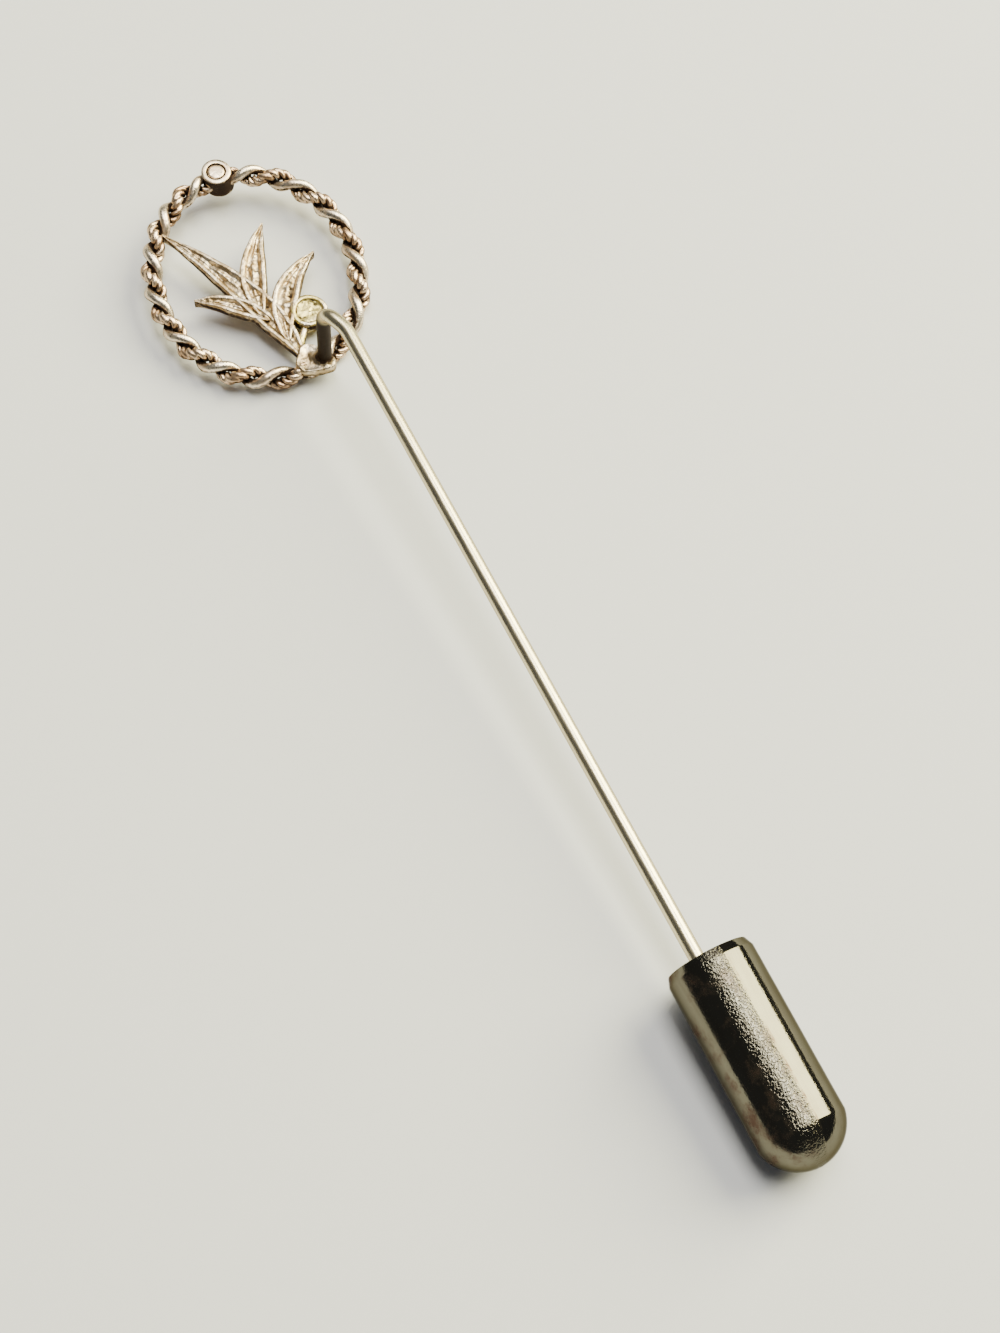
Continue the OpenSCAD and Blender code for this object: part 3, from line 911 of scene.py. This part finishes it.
def stalk_tube(sprig):
    """The berry's stalk: a round bar whose radius r (0.8 + 0.5 (2t-1)^2) grows towards both ends."""
    t = np.linspace(0, 1, STALK_ROWS)
    ends = np.array([[*STALK_FROM, STALK_RISE], [*BERRY_AT, STALK_RISE]])
    path = ends[0] + t[:, None] * (ends[1] - ends[0])
    along = np.repeat(unit(ends[1] - ends[0])[None], len(t), axis=0)
    radius = sprig.stalk_r * (0.8 + 0.5 * (2 * t - 1) ** 2)
    angles = round_angles(STALK_SIDES)
    grid = carried(path, along, np.array([0, 0, 1.0]), radius[:, None] * np.ones(STALK_SIDES), angles)
    return grid, 0.35 + 0.5 * ease(np.cos(angles), -0.2, 0.9) * np.ones((STALK_ROWS, 1))


def pad_tube(wire):
    """The solder pad: a low mound on its outline that climbs the foot of the post.

    From the middle outwards the radius is a share of the outline's distance in that direction. The height is
    that of a flat top with a rounded edge, less a hollow half way out, plus noise and a fillet at the post
    that fades as exp(-distance / fade length).
    """
    outline = np.array(PAD_OUTLINE) * MM
    middle = outline.mean(axis=0)
    angles = round_angles(PAD_SIDES)
    beams = np.stack([np.cos(angles), np.sin(angles)], -1)
    edge = np.roll(outline, -1, axis=0) - outline
    start = outline - middle
    cross = beams[:, None, 0] * edge[:, 1] - beams[:, None, 1] * edge[:, 0]
    reach = (start[:, 0] * edge[:, 1] - start[:, 1] * edge[:, 0]) / cross
    on_edge = (start[:, 0] * beams[:, None, 1] - start[:, 1] * beams[:, None, 0]) / cross
    hit = (reach > 0) & (on_edge >= -1e-9) & (on_edge <= 1 + 1e-9)
    rim = np.where(hit, reach, np.inf).min(axis=1)
    for _ in range(PAD_SMOOTHING):
        rim = (np.roll(rim, 1) + 2 * rim + np.roll(rim, -1)) / 4
    outer = PAD_FLAT + (1 - PAD_FLAT) * np.sin(np.linspace(0.1, math.pi / 2, 10))
    share = np.concatenate([np.linspace(0.02, PAD_FLAT, 26), outer])
    low_share = share[::-1] * 0.98
    flat = middle + np.concatenate([share, low_share])[:, None, None] * rim[:, None] * beams
    rounding = np.sqrt(np.clip(1 - ((share - PAD_FLAT) / (1 - PAD_FLAT)).clip(0) ** 2, 0, 1))
    top = PAD_LOW + (PAD_TOP - PAD_LOW) * (0.45 + 0.55 * rounding)
    low = np.full(len(low_share), PAD_LOW)
    height = np.concatenate([top, low])[:, None] * np.ones(len(angles))
    to_post = np.linalg.norm(flat[: len(share)] - np.array([0, wire.foot_y]), axis=-1) - WIRE_R
    height[: len(share)] += FILLET * np.exp(-np.clip(to_post, 0, None) / FILLET_FADE)
    grid = np.concatenate([flat, height[..., None]], -1)
    uneven = 0.6 * lattice_noise(grid, 0.45 * MM, PAD_SEED)
    uneven = uneven + 0.4 * lattice_noise(grid, 0.2 * MM, PAD_SEED + 1)
    hollow = np.sin(math.pi * share.clip(0, 1)) ** 2
    grid[: len(share), :, 2] += PAD_ROUGH * uneven[: len(share)] - PAD_HOLLOW * hollow[:, None]
    raised = 0.5 + 0.5 * ease(share, 0.35, 0.85) * (0.2 + 0.8 * rounding)
    mask = np.concatenate([raised, np.full(len(low_share), 0.2)])[:, None] + 0.4 * uneven
    mask[: len(share)] *= ease(to_post, 0.0, 0.3 * MM)
    return grid, np.clip(mask, 0, 1)


def wire_tube(wire, clutch):
    """One bent wire: post, bend, a short run to one side, a gentle curve into line, shaft and point.

    The wire's direction is (cos e cos h, cos e sin h, sin e). Its rise e goes from upright to level round the
    bend, its heading h from the swing to 0 round the second curve, both in step with the distance along the
    wire, and the path is the running sum of the directions. The mask is 0 on the post, which fire scale
    covers, and 1 from the bend on.
    """
    post = wire.height - wire.bend_r - wire.foot_z
    bend = wire.bend_r * math.pi / 2
    drift = wire.bend_r * math.sin(wire.swing) + wire.swing_r * (1 - math.cos(wire.swing))
    run = (-wire.foot_y - drift) / math.sin(wire.swing)
    curve = wire.swing_r * wire.swing
    marks = np.cumsum([post, bend, run, curve])
    level_x = (wire.bend_r + run) * math.cos(wire.swing) + wire.swing_r * math.sin(wire.swing)
    shaft_end = marks[3] + clutch.mouth_x - 0.25 * MM - level_x
    s = np.linspace(0, shaft_end + wire.point_length, WIRE_POINTS)
    rise = math.pi / 2 * (1 - np.clip((s - marks[0]) / bend, 0, 1))
    heading = wire.swing * (1 - np.clip((s - marks[2]) / curve, 0, 1))
    along = np.column_stack([np.cos(rise) * np.cos(heading), np.cos(rise) * np.sin(heading), np.sin(rise)])
    steps = (along[1:] + along[:-1]) / 2 * np.diff(s)[:, None]
    path = np.array([0, wire.foot_y, wire.foot_z]) + np.vstack([np.zeros(3), np.cumsum(steps, axis=0)])
    side = np.column_stack([-np.sin(heading), np.cos(heading), np.zeros(len(s))])
    to_tip = np.clip((s - shaft_end) / wire.point_length, 0, 1)
    radius = WIRE_R * (1 - 0.8 * to_tip) * np.sqrt(1 - ease(to_tip, 0.97, 1) ** 2 * 0.98)
    bent = np.arange(0, np.searchsorted(s, marks[3]), BEND_STEP)
    straight = np.arange(bent[-1] + BEND_STEP, np.searchsorted(s, shaft_end), SHAFT_STEP)
    point = np.arange(straight[-1] + SHAFT_STEP, len(s), POINT_STEP)
    kept = np.concatenate([bent, straight, point, [len(s) - 1]])
    around = radius[kept, None] * np.ones(WIRE_SIDES)
    grid = carried(path[kept], along[kept], side[kept], around, round_angles(WIRE_SIDES))
    clean = ease(s[kept], 0.9 * marks[0], marks[1] - 0.3 * bend)
    return grid, clean[:, None] * np.ones(WIRE_SIDES)


def place_clutch(clutch, wire, grid):
    """Clutch's own frame, with its axis along z from the mouth, to the head's frame."""
    s, c = math.sin(clutch.skew), math.cos(clutch.skew)
    axes = np.array([[s, c, 0], [0, 0, 1], [c, -s, 0]])
    return grid @ axes + np.array([clutch.mouth_x, clutch.shift, wire.height])


def dome_points(clutch, inset, count):
    """A dome's outline from its tip to the wall, set in by the inset.

    A wide arc over the tip runs into a tight one, whose centre lies a little below the dome's foot, so that
    the dome leaves the wall at a crease.
    """
    foot = clutch.length - clutch.dome
    radius, tight, sink = clutch.radius - inset, clutch.dome_edge - inset, clutch.dome_sink
    across = radius - math.sqrt(tight ** 2 - sink ** 2)
    rise = clutch.dome - inset + sink
    wide = (across ** 2 + rise ** 2 - tight ** 2) / (2 * (rise - tight))
    meet = math.degrees(math.asin(across / (wide - tight)))
    over = arc((0, foot - sink + rise - wide), wide, 89.5, 90 - meet, count)
    into = arc((across, foot - sink), tight, 90 - meet, math.degrees(math.asin(sink / tight)), count)
    return np.vstack([over, into[1:]])


def shell_profile(clutch):
    """The shell's outline as radius and height: outer dome, wall, bevel, mouth, inner wall, inner dome."""
    r, wall, foot = clutch.radius, clutch.wall, clutch.length - clutch.dome
    inner = r - wall
    outer = dome_points(clutch, 0, OUTER_DOME)
    wall_heights = np.linspace(foot - 0.05 * MM, clutch.bevel + 0.02 * MM, WALL_ROWS)
    walls = np.column_stack([np.full(WALL_ROWS, r), wall_heights])
    down = np.linspace(0.02, 0.98, BEVEL_ROWS)
    bevel = np.column_stack([r - clutch.inset * down, clutch.bevel * (1 - down)])
    face = np.array([[r - clutch.inset - 0.05 * MM, 0], [(r - clutch.inset + clutch.hole_r) / 2, 0]])
    edge = arc((clutch.hole_r + MOUTH_LIP, MOUTH_LIP), MOUTH_LIP, -90, -180, 6)
    inside = np.array([
        [clutch.hole_r, wall * 0.7], [clutch.hole_r + 0.03 * MM, wall],
        [inner - clutch.inset, wall], [inner, wall + clutch.bevel],
    ])
    inner_dome = dome_points(clutch, wall, INNER_DOME)[::-1]
    return np.vstack([outer, walls, bevel, face, edge, inside, inner_dome])


def shell_tube(clutch, wire):
    """The shell turned about its axis, with shallow dents.

    The outer wall is pressed in by the dent's depth times 1 less a noise from -1 to 1. The mask is 1 on the
    upper strip, where the wall is pitted, a half on the stained side next to it, and 0 elsewhere.
    """
    profile = shell_profile(clutch)
    angles = round_angles(CLUTCH_SIDES)
    grid = turned_profile(profile[:, 0], profile[:, 1], angles)
    stretched = grid * np.array([1, 1, 0.35])
    dents = 0.7 * lattice_noise(stretched, 1.3 * MM, SHELL_SEED)
    dents = dents + 0.3 * lattice_noise(grid, 0.7 * MM, SHELL_SEED + 1)
    outside = np.arange(len(profile)) < 2 * OUTER_DOME + WALL_ROWS + BEVEL_ROWS - 1
    inward = SHELL_DENT * (dents - 1) * outside[:, None]
    grid = grid + inward[..., None] * outward(angles)
    from_side = np.degrees(angles)
    worn = ease(from_side, *STRIP_BEGINS) * (1 - 0.5 * ease(from_side, *STRIP_ENDS))
    worn = worn * (1 - ease(from_side, *STAIN_ENDS))
    return place_clutch(clutch, wire, grid), worn * np.ones((len(profile), 1))


# Operators

def settings_of(context):
    """The stick pin's sizes and colours."""
    return context.scene.stick_pin


class STICK_PIN_OT_rope_ring(bpy.types.Operator):
    """Make the oval ring's smooth strand and its corded strand"""

    bl_idname = "stick_pin.rope_ring"
    bl_label = "Rope Ring"

    def execute(self, context):
        pin = settings_of(context)
        look = pin.finish
        pale = cast_material(
            "pale_strand", look.peach, look.silver, look.recess, rub=0.3, groove=0.3, relief=0.6
        )
        rosy = cast_material(
            "rosy_cord", look.rose, look.peach, look.recess, rub=0.2, groove=0.36, relief=0.6
        )
        smooth, corded = smooth_strand(pin.rope, pin.setting), corded_strand(pin.rope, pin.setting)
        # The strands' upright sides get painted shade.
        make_piece("smooth_strand", [smooth], pale, "pin", ["head_and_pin"], painted_wall_shade=0.75)
        make_piece("corded_strand", [corded], rosy, "pin", ["head_and_pin"], painted_wall_shade=0.7)
        return {"FINISHED"}


class STICK_PIN_OT_stone_setting(bpy.types.Operator):
    """Make the round bezel and dress the cut stone in it"""

    bl_idname = "stick_pin.stone_setting"
    bl_label = "Stone Setting"

    def execute(self, context):
        pin = settings_of(context)
        look = pin.finish
        plate = cast_material("bezel_plate", look.peach, look.cream, look.recess, rub=0.25, groove=0.3)
        bezel = bezel_tube(pin.rope, pin.setting)
        # The bezel's upright wall gets painted shade.
        make_piece("bezel", [bezel], plate, "pin", ["head_and_pin"], painted_wall_shade=0.9)
        stone = frame["nodes"]["stone"]
        stone.data.materials.clear()
        stone.data.materials.append(stone_material(look.stone))
        return {"FINISHED"}


class STICK_PIN_OT_leaf_sprig(bpy.types.Operator):
    """Make the hollow-backed leaves, the berry and its stalk"""

    bl_idname = "stick_pin.leaf_sprig"
    bl_label = "Leaf Sprig"

    def execute(self, context):
        pin = settings_of(context)
        look, sprig = pin.finish, pin.sprig
        rough = rough_cast_material("sprig_plate", look.tan, look.cream, look.recess, rub=0.05, groove=0.3)
        yellow = rough_cast_material("berry_plate", look.straw, look.cream, look.recess, rub=0.1, groove=0.3)
        leaves = [leaf_tube(sprig, row, LEAF_SEED + 4 * k) for k, row in enumerate(LEAVES)]
        # The leaves' and the berry's upright sides get painted shade.
        make_piece("leaves", leaves, rough, "pin", ["head_and_pin"], painted_wall_shade=0.75)
        berry = [berry_tube(sprig), stalk_tube(sprig)]
        make_piece("berry", berry, yellow, "pin", ["head_and_pin"], painted_wall_shade=0.75)
        return {"FINISHED"}


class STICK_PIN_OT_post_and_wire(bpy.types.Operator):
    """Make the solder pad and the bent pin wire"""

    bl_idname = "stick_pin.post_and_wire"
    bl_label = "Post and Wire"

    def execute(self, context):
        pin = settings_of(context)
        look = pin.finish
        solder = rough_cast_material(
            "solder", look.tan, look.cream, look.recess, rub=0.1, groove=0.25, pits=0.5
        )
        dark = tuple(0.8 * c for c in look.wire)
        drawn = turned_material(
            "pin_wire", look.wire, dark, rough=0.32, polish=0.24, pits=9000.0, wear=3500.0, relief=0.08,
            scale=look.scale,
        )
        pad, bent = pad_tube(pin.wire), wire_tube(pin.wire, pin.clutch)
        # The pad's upright sides get painted shade.
        make_piece("solder_pad", [pad], solder, "pin", ["head_and_pin"], painted_wall_shade=0.5)
        make_piece("pin_wire", [bent], drawn, "pin", ["head_and_pin"])
        return {"FINISHED"}


class STICK_PIN_OT_clutch(bpy.types.Operator):
    """Make the bullet clutch's shell and dress the core inside it"""

    bl_idname = "stick_pin.clutch"
    bl_label = "Clutch"

    def execute(self, context):
        pin = settings_of(context)
        look = pin.finish
        shell = turned_material(
            "gunmetal", look.gunmetal, look.dulled, rough=0.14, polish=0.08, pits=7500.0, wear=2200.0,
            relief=0.75, grain=0.03, stain=look.stain, edge=SHELL_TINT,
        )
        bullet = shell_tube(pin.clutch, pin.wire)
        make_piece("bullet_shell", [bullet], shell, "clutch", ["clutch_shell"])
        core = frame["nodes"]["clutch_grip"]
        core.data.materials.clear()
        dull = tuple(0.7 * c for c in look.steel)
        steel = turned_material(
            "grip_steel", look.steel, dull, rough=0.45, polish=0.35, pits=7000.0, wear=3000.0, relief=0.3
        )
        core.data.materials.append(steel)
        return {"FINISHED"}


# A light's row holds its name, the direction in which it stands, its distance and sides in metres, its power
# in watts and its tint.
SOFTBOXES = (
    ("window", (-0.08, 0.775, 0.63), 0.5, (0.36, 0.4), 9.0, (1.0, 0.95, 0.62)),
    ("overhead", (-0.08, 0.135, 0.987), 0.6, (0.36, 0.2), 3.6, (1.0, 0.98, 0.88)),
    ("head_light", (-0.566, 0.115, 0.816), 0.6, (0.3, 0.25), 1.0, (1.0, 0.96, 0.86)),
)
ROOM_LIGHT, ROOM_STRENGTH = (0.80, 0.83, 0.88, 1), 0.12


def add_softbox(name, towards, distance, size, power, tint):
    """A rectangular light that faces the pin's middle from the given direction, its height in line with y."""
    light = bpy.data.lights.new(name, "AREA")
    light.shape = "RECTANGLE"
    light.size, light.size_y = size
    light.energy = power
    light.color = tint
    lamp = bpy.data.objects.new(name, light)
    bpy.context.scene.collection.objects.link(lamp)
    direction = Vector(towards).normalized()
    lamp.location = direction * distance
    lamp.rotation_mode = "QUATERNION"
    upright = (Vector((0, 1, 0)) - direction.y * direction).normalized()
    axes = Matrix((upright.cross(direction), upright, direction)).transposed()
    lamp.rotation_quaternion = axes.to_quaternion()
    return lamp


class STICK_PIN_OT_stage(bpy.types.Operator):
    """Lay the pale floor and set the lights, the world and the camera"""

    bl_idname = "stick_pin.stage"
    bl_label = "Stage"

    def execute(self, context):
        pin = settings_of(context)
        stage = pin.stage
        half = stage.floor_size / 2
        corners = [(-half, -half, 0), (half, -half, 0), (half, half, 0), (-half, half, 0)]
        mesh = bpy.data.meshes.new("floor")
        mesh.from_pydata(corners, [], [(0, 1, 2, 3)])
        mesh.materials.append(floor_material(pin.finish.floor))
        floor = bpy.data.objects.new("floor", mesh)
        context.scene.collection.objects.link(floor)
        world = bpy.data.worlds.new("studio")
        world.use_nodes = True
        world.node_tree.nodes["Background"].inputs["Color"].default_value = ROOM_LIGHT
        world.node_tree.nodes["Background"].inputs["Strength"].default_value = ROOM_STRENGTH
        context.scene.world = world
        for row in SOFTBOXES:
            add_softbox(*row)
        a, e = stage.azimuth, stage.elevation
        back = Vector((math.sin(a) * math.cos(e), -math.cos(a) * math.cos(e), math.sin(e)))
        data = bpy.data.cameras.new("camera")
        data.lens = stage.lens
        data.sensor_width = 36
        data.clip_start, data.clip_end = 0.001, 10
        camera = bpy.data.objects.new("camera", data)
        context.scene.collection.objects.link(camera)
        camera.location = Vector((stage.target_x, stage.target_y, 0)) + back * stage.distance
        camera.rotation_mode = "QUATERNION"
        camera.rotation_quaternion = (-back).to_track_quat("-Z", "Y")
        context.scene.camera = camera
        return {"FINISHED"}


class STICK_PIN_PT_sidebar(bpy.types.Panel):
    """Lists the stick pin's pieces and sizes"""

    bl_idname = "STICK_PIN_PT_sidebar"
    bl_label = "Stick Pin"
    bl_space_type = "VIEW_3D"
    bl_region_type = "UI"
    bl_category = "Stick Pin"

    def draw(self, context):
        pin = settings_of(context)
        for operator in OPERATORS:
            self.layout.operator(operator.bl_idname)
        for name in StickPinSettings.__annotations__:
            part = getattr(pin, name)
            box = self.layout.box()
            box.label(text=name.capitalize())
            for key in type(part).__annotations__:
                box.prop(part, key)


GROUPS = (
    RopeSettings, SettingSettings, SprigSettings, WireSettings, ClutchSettings, FinishSettings, StageSettings,
    StickPinSettings,
)
OPERATORS = (
    STICK_PIN_OT_rope_ring,
    STICK_PIN_OT_stone_setting,
    STICK_PIN_OT_leaf_sprig,
    STICK_PIN_OT_post_and_wire,
    STICK_PIN_OT_clutch,
    STICK_PIN_OT_stage,
)


def register():
    """Adds the classes and the scene's settings."""
    for cls in (*GROUPS, *OPERATORS, STICK_PIN_PT_sidebar):
        bpy.utils.register_class(cls)
    bpy.types.Scene.stick_pin = PointerProperty(type=StickPinSettings)


def unregister():
    """Takes them away again."""
    del bpy.types.Scene.stick_pin
    for cls in (STICK_PIN_PT_sidebar, *reversed(OPERATORS), *reversed(GROUPS)):
        bpy.utils.unregister_class(cls)


def main():
    register()
    bpy.ops.stick_pin.rope_ring()
    bpy.ops.stick_pin.stone_setting()
    bpy.ops.stick_pin.leaf_sprig()
    bpy.ops.stick_pin.post_and_wire()
    bpy.ops.stick_pin.clutch()
    bpy.ops.stick_pin.stage()


if __name__ == "__main__":
    main()
